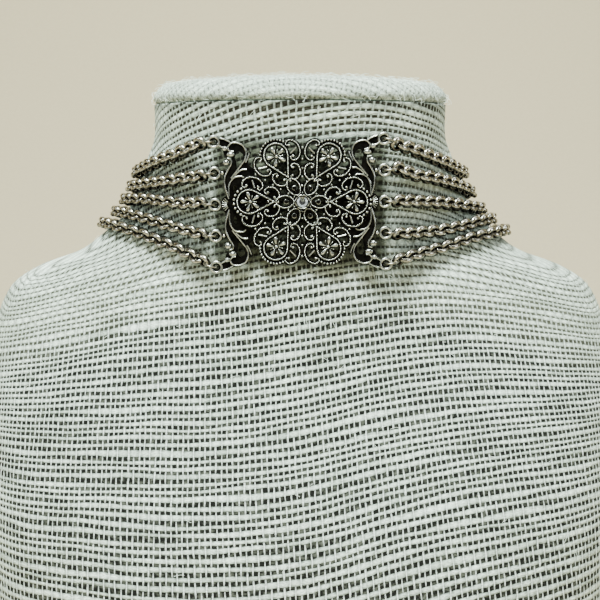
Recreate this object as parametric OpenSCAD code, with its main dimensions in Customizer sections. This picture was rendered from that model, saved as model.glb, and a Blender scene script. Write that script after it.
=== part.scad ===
// Five-strand filigree choker on a linen-covered neck bust, in millimetres.
// The origin is on the table under the middle of the bust, -Y is the front and +Z is up.

/* [Neck bust] */
// Height of the neck's top, under its cap
neck_top = 206; // [200:1:215]
// Thickness of the padded cap on the neck
cap_h = 9.5; // [7:0.5:12]
// Radius of the padded cap
cap_r = 48.6; // [48:0.2:50]
// Rounding of the cap's upper edge
cap_edge_r = 5; // [3:0.5:6]
// Sides of the faceted bust
bust_sides = 48; // [32:4:64]

/* [Plaque] */
// Height of the plaque's middle
plaque_z = 176; // [174:0.5:178]
// Distance of the plaque's back from the neck's axis
plaque_r = 50.3; // [50:0.1:52]
// Lean of the plaque's top towards the neck, in degrees
plaque_lean = 4; // [2:0.5:5]
// Turn of the plaque on the neck, as it was hung, in degrees
plaque_roll = 1.1; // [0:0.1:2]

/* [Scroll frames] */
// Thickness of the cast scroll frames
frame_t = 1.2; // [1:0.1:1.5]
// Height of the raised lines on the scroll frames
frame_relief = 0.35; // [0.2:0.05:0.5]
// Distance of the eyelet holes from the plaque's middle
eyelet_u = 25; // [24.8:0.1:25.4]
// Spacing of the eyelets, up and down
eyelet_pitch = 9.2; // [9:0.1:9.4]
// Outer radius of an eyelet
eyelet_r = 1.8; // [1.7:0.05:1.9]
// Radius of the hole in an eyelet
eyelet_hole_r = 1.2; // [1.1:0.05:1.25]
// Thickness of an eyelet
eyelet_t = 0.7; // [0.6:0.05:0.75]

/* [Rosette] */
// Sideways place of the rosette on the frames
rosette_u = 0.7; // [-1:0.1:1]
// Height of the rosette's middle on the frames
rosette_v = 0.3; // [-1:0.1:1]
// Turn of the rosette on the frames, in degrees
rosette_turn = -1.2; // [-2:0.1:2]
// Thickness of the pierced rosette
rosette_t = 0.9; // [0.7:0.1:1.2]
// Height of the cast relief on the rosette
rosette_relief = 0.5; // [0.3:0.1:0.7]
// Width of the rosette's wires
wire_w = 0.95; // [0.9:0.05:1]
// Distance of a pear's head from the rosette's middle
pear_u = 15.6; // [15.5:0.05:15.8]
// Radius of a pear's head
pear_r = 3.5; // [3.45:0.05:3.55]
// Distance of a pear's tip from the rosette's middle
pear_tip_u = 8.4; // [8.2:0.05:8.6]
// Length of a petal
petal_l = 2.9; // [2.6:0.1:3]
// Radius of an edge bead
bead_r = 0.4; // [0.36:0.02:0.42]
// Edge beads round each pear
beads_per_pear = 11; // [9:2:11]

/* [Stone] */
// Diameter of the crystal
stone_d = 3.4; // [3:0.1:3.6]
// Outer diameter of its cup setting
setting_d = 4.4; // [4.3:0.1:4.8]
// Height of the setting above the rosette
setting_h = 1.5; // [1.3:0.1:1.8]

/* [Jump rings] */
// Wire of a jump ring
ring_wire = 0.65; // [0.5:0.05:0.65]
// Radius of a jump ring at its wire's centre
ring_r = 2.2; // [2.2:0.05:2.3]

/* [Strands] */
// Width of a chain strand
strand_d = 3.6; // [3.4:0.1:3.7]
// Sides of a strand's outer form
strand_sides = 8; // [8:1:10]

/* [Clasp] */
// Width of the plain clasp's body
clasp_w = 18; // [16:1:18]
// Height of the clasp
clasp_h = 20; // [19:0.5:22]
// Thickness of the clasp
clasp_t = 3; // [2.5:0.1:3]
// Distance of the clasp's inner face from the neck's axis
clasp_r = 50.7; // [50.6:0.1:51.2]
// Spacing of the strands at the clasp
clasp_pitch = 4; // [3.9:0.1:4]

/* [Hidden] */

STRANDS = 5;
LEFT = -1;
RIGHT = 1;

// Bust sections from the neck's top to the base.
// Columns: height above the base, neck radius, torso half width, torso front, torso back, squareness
BUST_ROWS = [
    [206, 48.3,   0,     0,  0, 2.0],
    [196, 48.3,  30,    15, 15, 2.0],
    [188, 48.6,  47,    20, 20, 2.0],
    [182, 49.0,  50,    24, 24, 2.0],
    [176, 49.3,  53.5,  28, 27, 2.0],
    [170, 49.8,  58,    31, 30, 2.0],
    [164, 50.3,  65.5,  34, 33, 2.0],
    [158, 51.0,  74,    37, 36, 2.0],
    [153, 51.8,  87.5,  40, 39, 2.0],
    [147, 53.0,  96.8,  43, 42, 2.1],
    [138, 55.5, 101.5,  48, 47, 2.2],
    [126, 58.5, 104,    58, 53, 2.3],
    [110, 60.0, 104.5,  73, 59, 2.5],
    [ 87, 60.0, 104,    92, 65, 2.6],
    [ 61, 60.0, 102,   104, 68, 2.6],
    [ 31, 60.0,  99,   106, 68, 2.6],
    [  0, 60.0,  95,   103, 66, 2.6]];
// How tightly the neck and the torso blend into each other
BUST_BLEND = 10;

// Where each strand starts at its jump ring, from the top strand:
// distance out from the middle, distance forward of the neck's axis and height
// above the plaque's middle
LEFT_STARTS = [[29.2, 46.4, 17.5], [29, 47.1, 8], [28.9, 47.7, -0.1], [28.7, 48.3, -9.5],
               [28.4, 49.1, -17.4]];
RIGHT_STARTS = [[28.3, 46.5, 17.3], [28.6, 47, 10.3], [28.9, 47.6, 0.5], [29, 48.3, -9.2],
                [29.1, 49, -17]];
// Chain routes from there on: at each angle round the neck from its front, the distance
// from the neck's axis and the height above the plaque's middle, from the top strand
ROUTE_ANGLES = [42, 52, 64, 77, 90, 108, 128, 148, 166];
LEFT_ROUTES = [
    [[51.8, 15.5], [51, 13.5], [51.2, 11.5], [52.5, 9.5], [54.9, 7.5], [52.9, 7], [51.4, 7.5],
     [51.6, 8], [53.7, 8]],
    [[52.2, 7], [51.6, 6], [52, 5], [54.2, 4], [56.7, 3], [54.2, 2.5], [51.6, 3.5],
     [51.6, 4], [53.7, 4]],
    [[52.8, -0.6], [52.2, -0.4], [52.9, -0.2], [56.2, -0.5], [58.9, -1.2], [56.3, -2],
     [52, -1], [51.8, 0], [53.7, 0]],
    [[53.6, -8.4], [53.1, -7.4], [54.8, -6], [58.8, -5], [61.8, -5.2], [58.9, -6.5],
     [52.7, -5.5], [52.2, -4.5], [53.7, -4]],
    [[54.6, -14.6], [54.8, -12.6], [57.4, -10.4], [62.7, -8.8], [66.2, -9], [62.9, -11],
     [53.9, -10], [52.6, -9], [53.8, -8]]];
RIGHT_ROUTES = [
    [[51.8, 15.5], [51, 13.5], [51.2, 11.5], [52.7, 9.2], [54.9, 7.5], [52.9, 7], [51.4, 7.5],
     [51.6, 8], [53.7, 8]],
    [[52.2, 8], [51.6, 7], [52, 5.5], [54.4, 3.4], [57.6, 1], [54.6, 1.5], [51.6, 3],
     [51.6, 4], [53.7, 4]],
    [[52.8, 0], [52.2, -0.5], [53.4, -1.5], [57.5, -3], [61.1, -4.2], [57, -3.6],
     [52.1, -2], [51.8, -0.5], [53.7, 0]],
    [[53.8, -9.4], [53.9, -9.4], [56.1, -8.6], [61.2, -7.4], [64.6, -7.6], [60.8, -8.2],
     [52.9, -6.5], [52.2, -4.8], [53.7, -4]],
    [[54.9, -15.6], [55.5, -14.6], [58.8, -12.6], [65.1, -11.2], [69.2, -11.4], [64.9, -12.8],
     [54.6, -11], [52.7, -9.2], [53.8, -8]]];
ROUTE_STEPS = 2;

// Outer edge of a scroll frame's upper half, outward distance and height, from the inner end
FRAME_EDGE = [[7, 3], [10.5, 4.2], [13, 7.6], [13.6, 10.2], [15.3, 11.6], [15.1, 13.1],
              [14.5, 14.3], [14.3, 15.2], [14.8, 15.4], [15.4, 14.9], [15.6, 16.1],
              [16.1, 17], [16.9, 17.7], [17.8, 18.2], [18.9, 18.4], [20.1, 18.5],
              [21.2, 19.1], [22, 19.5], [23.6, 19.2], [23.6, 17.4], [22.8, 16.5],
              [22.4, 15.5], [22.3, 14.7], [21.7, 14.2], [20.2, 14.1], [20, 13.3],
              [20.7, 11.2], [21.4, 10.4], [22.1, 8.9], [22.6, 7.4], [22.6, 5.8],
              [22.2, 3.9], [21.7, 2.5], [22.4, 2.3], [23.2, 1.4], [23.4, 0]];
// Openings of the upper half
FRAME_GAPS = [
    [[16.6, 14.2], [17.3, 15.2], [18.2, 15.4], [18.9, 14.4], [19.1, 13.6], [18.7, 12.6],
     [18.6, 11.5], [18.4, 10.5], [17.6, 11.4], [16.8, 12.8]],
    [[18.8, 5.6], [19.6, 5.4], [19.8, 4.4], [19.5, 3.5], [18.9, 4.2]]];
// Raised lines of the upper half
FRAME_LINES = [
    [[20.3, 7.6], [18.1, 10.4], [16.9, 11.9], [16, 13.2], [15.7, 14.6], [15.9, 15.9],
     [16.7, 17.2], [18.2, 17.9], [19.4, 18], [20.3, 17.7], [21, 16.8], [20.9, 16],
     [20.3, 15.5], [19.4, 15.4]],
    [[21, 1.6], [21.8, 4], [22.2, 5.8], [22.2, 7.4], [21.8, 8.8], [21.1, 10.2], [20.3, 11.6],
     [20.1, 12.5], [20.4, 13.2], [21.2, 13.4]],
    [[21, 2.4], [21, 4.6], [20.8, 5.8], [20.2, 7], [19.3, 7.8], [18.2, 8.1], [17, 8.1],
     [16.3, 7.5]],
    [[15.7, 10.1], [16.8, 10.1], [17.7, 9.7], [18.6, 9], [19.2, 8.3]],
    [[14.8, 15], [14.9, 14.3], [15.4, 13.1], [16, 12.1]],
    [[20.3, 18.1], [21.1, 18.6], [22.2, 19.1], [23.2, 19.3]]];
// The frames' tables are read a little further out than the frames sit
FRAME_SHIFT = 0.2;
FRAME_BALL = [21.6, 12.2];
FRAME_BALL_R = 1.15;
// Rolled end of the large curl
FRAME_BULB = [20.25, 14.6];
FRAME_BULB_R = 0.85;
FRAME_KNOB = [21.9, 16.3];
FRAME_KNOB_R = 0.8;
JOINT_BEAD_U = 22.8;
JOINT_BEAD_R = 0.7;
FAN_RIBS = 7;
LINE_W = 0.4;

// Scrolls beside the line between two pears: distance along that line and away from it
OUTER_SCROLL = [[16.5, 4.1], [16.6, 4.8], [17.4, 4.9], [18.1, 3.7], [17.5, 2.1], [16.4, 1.2],
                [14.8, 0.7], [13.6, 0.9], [12.7, 1.4], [12.2, 2.3], [12.4, 3.1], [13, 3.4],
                [13.4, 3.1], [13.3, 2.7]];
INNER_SCROLL = [[10.1, 2.6], [10, 3.1], [10.7, 3.3], [11.2, 2.6], [10.9, 1.5], [9.8, 0.8],
                [8.7, 0.6], [7.5, 1], [6.6, 2], [6.9, 3], [7.5, 3.3], [7.8, 3.1],
                [7.7, 2.8]];
SCROLL_BAR = [[15.9, 1.9], [14.1, 3.6]];
// Low webs that tie the scrolls to the pears and to each other: place and radius
SCROLL_WEBS = [[17, 5.1, 0.6], [14, 4, 0.6], [12.8, 4.1, 0.6], [10.3, 4, 0.55],
               [7.6, 4.1, 0.55], [6.6, 3.4, 0.6], [11.7, 2.4, 0.5]];
PETALS = 5;
BEAD_RING_R = 4.6;
BEAD_SPREAD = 58;
TIP_BEAD_U = 10.3;
ALMOND_IN = 2.5;
ALMOND_OUT = 8.1;
ALMOND_HALF = 1.7;
HUB_R = 2.4;
LAYER_GAP = 0.05;
SEAM_GAP = 0.1;

// Bust functions
function blend(a, b) = pow(pow(a, BUST_BLEND) + pow(b, BUST_BLEND), 1 / BUST_BLEND);
function torso_radius(row, angle) =
    row[2] <= 0 ? 0 :
    let (depth = cos(angle) >= 0 ? row[3] : row[4])
    pow(pow(abs(sin(angle)) / row[2], row[5]) + pow(abs(cos(angle)) / depth, row[5]),
        -1 / row[5]);
function bust_radius(row, angle) = blend(row[1], torso_radius(row, angle));
function bust_point(row, angle) =
    let (r = bust_radius(row, angle)) [r * sin(angle), neck_y - r * cos(angle), row[0]];
bust_front = max([for (row = BUST_ROWS) bust_radius(row, 0)]);
bust_back = max([for (row = BUST_ROWS) bust_radius(row, 180)]);
neck_y = (bust_front - bust_back) / 2;

// Smooth curve through points
function curve_point(a, b, c, d, t) =
    0.5 * (2 * b + (c - a) * t + (2 * a - 5 * b + 4 * c - d) * t * t
           + (3 * b - a - 3 * c + d) * t * t * t);
function smooth_open(p, steps) =
    let (n = len(p))
    concat([for (i = [0 : n - 2], k = [0 : steps - 1])
            curve_point(p[max(i - 1, 0)], p[i], p[i + 1], p[min(i + 2, n - 1)], k / steps)],
           [p[n - 1]]);
function smooth_closed(p, steps) =
    let (n = len(p))
    [for (i = [0 : n - 1], k = [0 : steps - 1])
     curve_point(p[(i + n - 1) % n], p[i], p[(i + 1) % n], p[(i + 2) % n], k / steps)];
function mirrored(p) = [for (q = p) [q[0], -q[1]]];
function reversed(p) = [for (i = [len(p) - 1 : -1 : 0]) p[i]];
function unit(v) = v / norm(v);

// Plaque placing: from outward distance, height and distance off the neck to the row's frame
function plaque_point(u, v, w) =
    let (ur = u * cos(plaque_roll) - v * sin(plaque_roll),
         vr = u * sin(plaque_roll) + v * cos(plaque_roll))
    [ur, neck_y - plaque_r + vr * sin(plaque_lean) - w * cos(plaque_lean),
     plaque_z + vr * cos(plaque_lean) + w * sin(plaque_lean)];
function eyelet_v(k) = (3 - k) * eyelet_pitch;
function eyelet_point(side, k) = plaque_point(side * eyelet_u, eyelet_v(k), frame_t / 2);

// Strand functions
function routes(side) = side == LEFT ? LEFT_ROUTES : RIGHT_ROUTES;
function strand_start(side, k) =
    let (p = (side == LEFT ? LEFT_STARTS : RIGHT_STARTS)[k - 1])
    [side * p[0], neck_y - p[1], plaque_z + p[2]];
function route(side, k) =
    concat([strand_start(side, k)],
           [for (i = [0 : len(ROUTE_ANGLES) - 1])
            let (p = routes(side)[k - 1][i], a = ROUTE_ANGLES[i])
            [side * p[0] * sin(a), neck_y - p[0] * cos(a), plaque_z + p[1]]]);
function path_tangent(path, i) = unit(path[min(i + 1, len(path) - 1)] - path[max(i - 1, 0)]);
function tube_ring(centre, tangent, r, sides) =
    let (across = unit(cross(tangent, [0, 0, 1])), up = cross(across, tangent))
    [for (j = [0 : sides - 1])
     centre + r * cos(360 * j / sides) * across + r * sin(360 * j / sides) * up];
function ring_faces(rings, sides) =
    [for (i = [0 : rings - 2], j = [0 : sides - 1])
     [i * sides + j, i * sides + (j + 1) % sides,
      (i + 1) * sides + (j + 1) % sides, (i + 1) * sides + j]];

module tube(path, r, sides) {
    points = [for (i = [0 : len(path) - 1])
              each tube_ring(path[i], path_tangent(path, i), r, sides)];
    last = (len(path) - 1) * sides;
    polyhedron(points, concat([[for (j = [sides - 1 : -1 : 0]) j]],
                              ring_faces(len(path), sides),
                              [[for (j = [0 : sides - 1]) last + j]]));
}

module stroke(path, w) {
    n = len(path);
    across = [for (i = [0 : n - 1])
              let (t = unit(path[min(i + 1, n - 1)] - path[max(i - 1, 0)])) [-t[1], t[0]]];
    polygon(concat([for (i = [0 : n - 1]) path[i] + across[i] * w / 2],
                   [for (i = [n - 1 : -1 : 0]) path[i] - across[i] * w / 2]));
}

module on_plaque() {
    translate([0, neck_y - plaque_r, plaque_z])
        rotate([90 - plaque_lean, 0, 0])
            rotate([0, 0, plaque_roll])
                children();
}

module bust() {
    color("gainsboro") {
        sides = bust_sides;
        rows = len(BUST_ROWS);
        points = [for (row = BUST_ROWS, j = [0 : sides - 1]) bust_point(row, 360 * j / sides)];
        polyhedron(points, concat([[for (j = [sides - 1 : -1 : 0]) j]],
                                  ring_faces(rows, sides),
                                  [[for (j = [0 : sides - 1]) (rows - 1) * sides + j]]));
    }
}

module neck_cap() {
    color("whitesmoke")
        translate([0, neck_y, neck_top + SEAM_GAP])
            rotate_extrude($fn = 96)
                intersection() {
                    union() {
                        square([cap_r - cap_edge_r, cap_h]);
                        square([cap_r, cap_h - cap_edge_r]);
                        translate([cap_r - cap_edge_r, cap_h - cap_edge_r])
                            circle(cap_edge_r, $fn = 48);
                    }
                    square([cap_r, cap_h]);
                }
}

// Scroll frames
module half_frame_outline() {
    difference() {
        polygon(concat([[7, 0]], FRAME_EDGE));
        for (gap = FRAME_GAPS)
            polygon(smooth_closed(gap, 2));
    }
    translate(FRAME_BALL) circle(FRAME_BALL_R * 0.9, $fn = 24);
    translate(FRAME_KNOB) circle(FRAME_KNOB_R * 0.9, $fn = 24);
}

module frame_outline() {
    offset(delta = 0.01) {
        translate([-FRAME_SHIFT, 0]) {
            half_frame_outline();
            mirror([0, 1]) half_frame_outline();
        }
        for (k = [1 : STRANDS])
            translate([eyelet_u - 3.6, eyelet_v(k) - 0.55]) square([2.6, 1.1]);
    }
}

module frame_relief_lines() {
    for (m = [0, 1])
        mirror([0, m])
            for (line = FRAME_LINES)
                translate([-FRAME_SHIFT, 0]) stroke(smooth_open(line, 2), LINE_W);
    for (i = [0 : FAN_RIBS - 1])
        translate([21.2 - FRAME_SHIFT, 0])
            rotate((i - (FAN_RIBS - 1) / 2) * 18)
                translate([0.5, -0.14]) square([1.5, 0.28]);
}

module scroll_frame(side) {
    color("gray")
        on_plaque()
            mirror([side == LEFT ? 1 : 0, 0, 0])
                difference() {
                    union() {
                        linear_extrude(frame_t) frame_outline();
                        translate([0, 0, frame_t - 0.1])
                            linear_extrude(frame_relief + 0.1)
                                offset(delta = 0.01)
                                    intersection() {
                                        frame_relief_lines();
                                        translate([13.5, -20]) square([12, 40]);
                                    }
                        for (m = [-1, 1])
                            translate([-FRAME_SHIFT, 0, frame_t]) {
                                translate([FRAME_BALL[0], m * FRAME_BALL[1]])
                                    sphere(FRAME_BALL_R, $fn = 32);
                                translate([FRAME_KNOB[0], m * FRAME_KNOB[1]])
                                    sphere(FRAME_KNOB_R, $fn = 32);
                                translate([FRAME_BULB[0], m * FRAME_BULB[1]])
                                    sphere(FRAME_BULB_R, $fn = 24);
                            }
                        for (k = [2, 4])
                            translate([JOINT_BEAD_U - FRAME_SHIFT, eyelet_v(k), frame_t / 2])
                                sphere(JOINT_BEAD_R, $fn = 24);
                        for (k = [1 : STRANDS])
                            translate([eyelet_u, eyelet_v(k), (frame_t - eyelet_t) / 2])
                                cylinder(h = eyelet_t, r = eyelet_r, $fn = 48);
                    }
                    for (k = [1 : STRANDS])
                        translate([eyelet_u, eyelet_v(k), -1])
                            cylinder(h = frame_t + 2, r = eyelet_hole_r, $fn = 48);
                }
}

// Rosette
function pear_path(r) =
    let (run = pear_u - pear_tip_u, lean = asin(pear_r / run), wide = 90 + lean,
         tip = pear_u - r / sin(lean))
    concat([[tip, 0]],
           [for (i = [0 : 12]) let (a = -wide + 2 * wide * i / 12)
            [pear_u + r * cos(a), r * sin(a)]]);

module pear() {
    difference() {
        polygon(pear_path(pear_r + wire_w / 2));
        difference() {
            polygon(pear_path(pear_r - wire_w / 2));
            translate([pear_u, 0])
                for (i = [0 : PETALS - 1])
                    rotate(360 / PETALS * (i + 0.5))
                        translate([0, -0.2]) square([pear_r, 0.4]);
            translate([pear_u, 0]) circle(0.9, $fn = 10);
            translate([TIP_BEAD_U - 1.2, -1.2]) square([1.2, 2.4]);
            translate([TIP_BEAD_U, 0]) circle(bead_r, $fn = 8);
            petals();
        }
    }
}

module pear_rim() {
    difference() {
        polygon(pear_path(pear_r + wire_w / 2 - 0.14));
        polygon(pear_path(pear_r - wire_w / 2 + 0.14));
    }
}

module petals() {
    translate([pear_u - 0.4, 0])
        for (i = [0 : PETALS - 1])
            rotate(360 / PETALS * i)
                polygon([[0.3, -0.15], [petal_l - 0.7, -0.46], [petal_l, -0.24],
                         [petal_l, 0.24], [petal_l - 0.7, 0.46], [0.3, 0.15]]);
}

module almond(grow) {
    mid = (ALMOND_IN + ALMOND_OUT) / 2;
    half = (ALMOND_OUT - ALMOND_IN) / 2 + grow;
    high = ALMOND_HALF + grow;
    polygon([for (i = [0 : 15]) let (a = 22.5 * i)
             [mid + half * cos(a) * (0.6 + 0.4 * abs(cos(a))), high * sin(a)]]);
}

module almond_ring() {
    difference() {
        almond(wire_w / 2);
        difference() {
            almond(-wire_w / 2);
            translate([ALMOND_IN, -0.25]) square([2.4, 0.5]);
            translate([4.7, 0]) circle(0.6, $fn = 8);
        }
    }
    translate([ALMOND_OUT, -0.4]) square([1.4, 0.8]);
}

module pear_beads() {
    translate([pear_u, 0])
        for (i = [0 : beads_per_pear - 1])
            rotate(-BEAD_SPREAD + 2 * BEAD_SPREAD * i / (beads_per_pear - 1))
                translate([BEAD_RING_R, 0]) circle(bead_r, $fn = 8);
}

module scroll_pair() {
    for (m = [0, 1])
        mirror([0, m]) {
            stroke(OUTER_SCROLL, wire_w);
            stroke(INNER_SCROLL, wire_w);
            stroke(SCROLL_BAR, 0.45);
            for (web = SCROLL_WEBS)
                translate([web[0], web[1]]) circle(web[2], $fn = 6);
        }
    translate([13.6, -0.7]) square([1.8, 1.4]);
    translate([8, -0.5]) square([1.4, 1]);
}

module rosette_openwork() {
    offset(delta = 0.01) {
        circle(HUB_R, $fn = 24);
        for (i = [0 : 5]) {
            rotate(60 * i) {
                pear();
                almond_ring();
                pear_beads();
                translate([pear_u, 0]) bead_band();
            }
            rotate(60 * i + 30)
                scroll_pair();
        }
    }
}

module bead_band() {
    middle = (pear_r + wire_w / 2 + BEAD_RING_R) / 2;
    stroke([for (i = [-4 : 4]) let (a = BEAD_SPREAD * i / 4) middle * [cos(a), sin(a)]],
           BEAD_RING_R - pear_r);
}

module rosette_relief_shapes() {
    offset(delta = 0.005)
        for (i = [0 : 5])
            rotate(60 * i) {
                pear_rim();
                petals();
                translate([pear_u - 0.4, 0]) circle(0.6, $fn = 10);
                pear_beads();
                translate([TIP_BEAD_U, 0]) circle(bead_r - 0.1, $fn = 8);
                translate([4.7, 0]) circle(0.45, $fn = 8);
            }
}

module rosette() {
    color("silver")
        on_plaque()
            translate([rosette_u, rosette_v, frame_t + frame_relief + LAYER_GAP])
                rotate([0, 0, rosette_turn]) {
                    linear_extrude(rosette_t) rosette_openwork();
                    translate([0, 0, rosette_t - 0.2])
                        linear_extrude(rosette_relief + 0.2) rosette_relief_shapes();
                }
}

module on_rosette() {
    on_plaque()
        translate([rosette_u, rosette_v, frame_t + frame_relief + rosette_t + 2 * LAYER_GAP])
            rotate([0, 0, rosette_turn])
                children();
}

// Stone and its setting
stone_crown = 0.55;
stone_girdle = 0.15;
stone_pavilion = 1.1;
seat_z = stone_pavilion + 0.15;

module stone_setting() {
    color("silver")
        on_rosette()
            difference() {
                union() {
                    cylinder(h = setting_h, d = setting_d, $fn = 48);
                    for (i = [0 : 7])
                        rotate(45 * i)
                            translate([(stone_d + setting_d) / 4 + 0.1, 0, setting_h])
                                sphere(0.24, $fn = 16);
                }
                translate([0, 0, 0.1]) cylinder(h = setting_h + 1, d = stone_d + 0.16, $fn = 48);
            }
}

module stone() {
    color("azure")
        on_rosette()
            translate([0, 0, 0.2]) {
                cylinder(h = stone_pavilion, d1 = 0.3, d2 = stone_d, $fn = 12);
                translate([0, 0, stone_pavilion])
                    cylinder(h = stone_girdle, d = stone_d, $fn = 12);
                translate([0, 0, stone_pavilion + stone_girdle])
                    cylinder(h = stone_crown, d1 = stone_d, d2 = stone_d * 0.58, $fn = 12);
            }
}

// Jump rings point from their eyelet to the strand's first point
module jump_ring(side, k) {
    hole = eyelet_point(side, k);
    pull = unit(strand_start(side, k) - hole);
    centre = hole + pull * ring_r;
    color("silver")
        translate(centre)
            rotate([0, 0, atan2(pull[1], pull[0])])
                rotate([0, -asin(pull[2]), 0])
                    rotate_extrude($fn = 48)
                        translate([ring_r, 0]) circle(d = ring_wire, $fn = 24);
}

module strand(side, k) {
    color("silver")
        tube(smooth_open(route(side, k), ROUTE_STEPS), strand_d / 2, strand_sides);
}

module clasp() {
    loop_x = clasp_w / 2 + 1.6;
    color("silver")
        translate([0, neck_y + clasp_r + clasp_t / 2, plaque_z])
            difference() {
                union() {
                    translate([0, 0, -clasp_h / 2])
                        linear_extrude(clasp_h) {
                            square([clasp_w - clasp_t, clasp_t], center = true);
                            for (m = [-1, 1])
                                translate([m * (clasp_w - clasp_t) / 2, 0])
                                    circle(d = clasp_t, $fn = 32);
                        }
                    for (m = [-1, 1], k = [1 : STRANDS])
                        translate([m * loop_x, 0, (3 - k) * clasp_pitch]) {
                            rotate([90, 0, 0])
                                cylinder(h = 1, r = 1.8, center = true, $fn = 32);
                            translate([-m * 1.2, 0, 0]) cube([2, 1, 1.2], center = true);
                        }
                }
                for (m = [-1, 1], k = [1 : STRANDS])
                    translate([m * loop_x, 0, (3 - k) * clasp_pitch])
                        rotate([90, 0, 0])
                            cylinder(h = 4, r = 0.9, center = true, $fn = 32);
            }
}

bust();
neck_cap();
scroll_frame(LEFT);  // scroll_frame_left
scroll_frame(RIGHT);  // scroll_frame_right
rosette();
stone_setting();
stone();
for (k = [1 : STRANDS]) {
    jump_ring(LEFT, k);
    jump_ring(RIGHT, k);
    strand(LEFT, k);
    strand(RIGHT, k);
}
clasp();
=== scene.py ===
# %% [markdown]
# # A five-strand filigree choker on a linen neck bust
#
# The choker has a pierced, blackened silver plaque in front and five strands of
# round chain on each side. It hangs on a display bust covered in coarse linen.
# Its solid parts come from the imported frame. This notebook adds the camera, the light,
# the cloth, the chain links and the fine wirework, and gives everything its finish.

# %% Load the frame
import math
import random
from functools import partial

import bpy
from mathutils import Matrix, Vector


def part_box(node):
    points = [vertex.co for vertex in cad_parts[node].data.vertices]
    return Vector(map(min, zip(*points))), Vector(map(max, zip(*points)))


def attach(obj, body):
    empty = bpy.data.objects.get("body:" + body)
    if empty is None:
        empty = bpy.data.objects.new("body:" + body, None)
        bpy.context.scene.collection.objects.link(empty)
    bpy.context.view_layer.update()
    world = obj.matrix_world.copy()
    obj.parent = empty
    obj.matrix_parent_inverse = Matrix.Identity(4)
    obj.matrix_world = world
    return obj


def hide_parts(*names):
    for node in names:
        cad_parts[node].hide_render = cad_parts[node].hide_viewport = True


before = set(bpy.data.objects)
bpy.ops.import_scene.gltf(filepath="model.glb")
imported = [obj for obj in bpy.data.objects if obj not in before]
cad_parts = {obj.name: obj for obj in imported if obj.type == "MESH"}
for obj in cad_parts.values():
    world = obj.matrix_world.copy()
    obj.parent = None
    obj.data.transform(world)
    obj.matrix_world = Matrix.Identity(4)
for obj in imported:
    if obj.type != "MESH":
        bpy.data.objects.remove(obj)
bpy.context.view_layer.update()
MM = 0.001
cap_low, cap_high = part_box("neck_cap")
NECK_Y = (cap_low.y + cap_high.y) / 2 / MM
print("solids loaded:", len(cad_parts), "neck axis at y", round(NECK_Y, 2), "mm")

# %% [markdown]
# ## The camera
#
# The photograph was taken from a little above the plaque with a short telephoto view.
# The vanishing of the neck's rings gives the height and the tilt, so the camera is
# placed by those numbers and not by eye.

# %% Camera
PLAQUE_Z = 176
CAMERA_AWAY = 398
CAMERA_UP = 16.4
CAMERA_TILT = 7.41
SENSOR = 36
FOCAL_PIXELS = 1176
IMAGE_PIXELS = 600

bpy.ops.object.camera_add(
    location=(0, (NECK_Y - CAMERA_AWAY) * MM, (PLAQUE_Z + CAMERA_UP) * MM),
    rotation=(math.radians(90 - CAMERA_TILT), 0, 0))
camera = bpy.context.object
camera.name = "photo_camera"
camera.data.sensor_width = SENSOR
camera.data.lens = SENSOR * FOCAL_PIXELS / IMAGE_PIXELS
camera.data.clip_start = 0.01
bpy.context.scene.camera = camera
print("camera", [round(c, 3) for c in camera.location], "lens", round(camera.data.lens, 1))

# %% [markdown]
# ## Colours and shader nodes
#
# Colours are written as the hex values that a colour picker shows. Blender's shaders
# work with linear light, so one function turns one into the other. Another adds any
# shader node with its settings, and fills its open inputs in their order with values or
# with what other nodes give. Inputs can also be filled by name, as on the main shader.
# Nearly all values of a noise lie in a middle range, which is often stretched.

# %% Helpers for materials
NOISE_RANGE = (0.3, 0.7)


def linear(hex_colour):
    channels = [int(hex_colour[i:i + 2], 16) / 255 for i in (1, 3, 5)]
    return [c / 12.92 if c <= 0.04045 else ((c + 0.055) / 1.055) ** 2.4
            for c in channels] + [1]


def fill(node, inputs):
    for key, value in inputs.items():
        if isinstance(value, bpy.types.Node):
            value = next(output for output in value.outputs if output.enabled)
        if isinstance(value, bpy.types.NodeSocket):
            node.id_data.links.new(value, node.inputs[key])
        else:
            node.inputs[key].default_value = value


def add(tree, kind, *values, inputs=None, **settings):
    made = tree.nodes.new("ShaderNode" + kind)
    for name, value in settings.items():
        setattr(made, name, value)
    places = [i for i, socket in enumerate(made.inputs) if socket.enabled]
    fill(made, dict(zip(places, values)) | (inputs or {}))
    return made


def new_material(name):
    material = bpy.data.materials.new(name)
    material.use_nodes = True
    tree = material.node_tree
    shader = tree.nodes["Principled BSDF"]
    return material, tree, shader


def dress(node, material):
    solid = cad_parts[node]
    solid.data.materials.clear()
    solid.data.materials.append(material)


# %% [markdown]
# ## Floor and backdrop
#
# The object stands on a plain pale floor of matt paper that sweeps up behind it. A plane
# whose far edge is pulled up, with that corner rounded by a bevel, has no line between
# floor and wall, as a roll of studio paper hasn't. Its grain is too fine to see as more
# than an even, dull surface.

# %% Floor and backdrop
FLOOR_HALF = 1.6
FLOOR_FORWARD = 0.6
BACKDROP_HEIGHT = 2.2
BACKDROP_CURVE = 0.5
PAPER_GRAIN_MM = 1 / 0.9

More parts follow.
